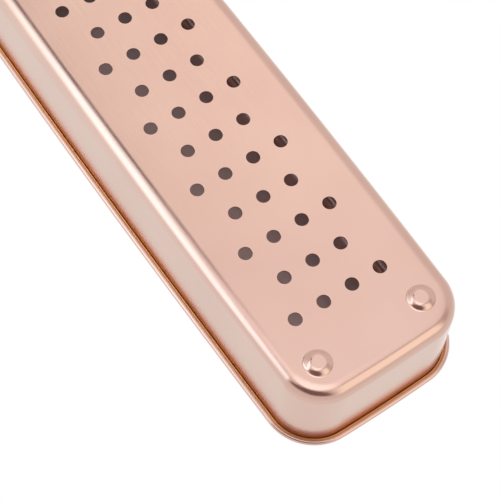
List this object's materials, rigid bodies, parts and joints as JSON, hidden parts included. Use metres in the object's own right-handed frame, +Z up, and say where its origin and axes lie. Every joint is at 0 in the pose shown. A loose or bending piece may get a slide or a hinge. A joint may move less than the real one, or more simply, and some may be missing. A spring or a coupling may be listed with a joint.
{
  "type": "cutlery box",
  "caption": "Long shallow steel cutlery box with a perforated base, pressed feet, a curled rim and a loose lift-off lid.",
  "frame": {"origin": "under the middle of the walls, on the surface that the feet stand on", "axes": "+X along the box, +Y across it, +Z up, out of the mouth of the box and through the lid"},
  "size_m": [0.2488, 0.0784, 0.0424],
  "materials": {
    "rose_gold_steel": "satin rose gold coating on stainless steel"
  },
  "bodies": {
    "box": {"box_body": "rose_gold_steel"},
    "lid": {"lid": "rose_gold_steel"}
  },
  "joints": [
    {"name": "lid_lift", "type": "slide", "parent": "box", "child": "lid", "axis": [0, 0, 1], "range_m": [0, 0.06]}
  ]
}
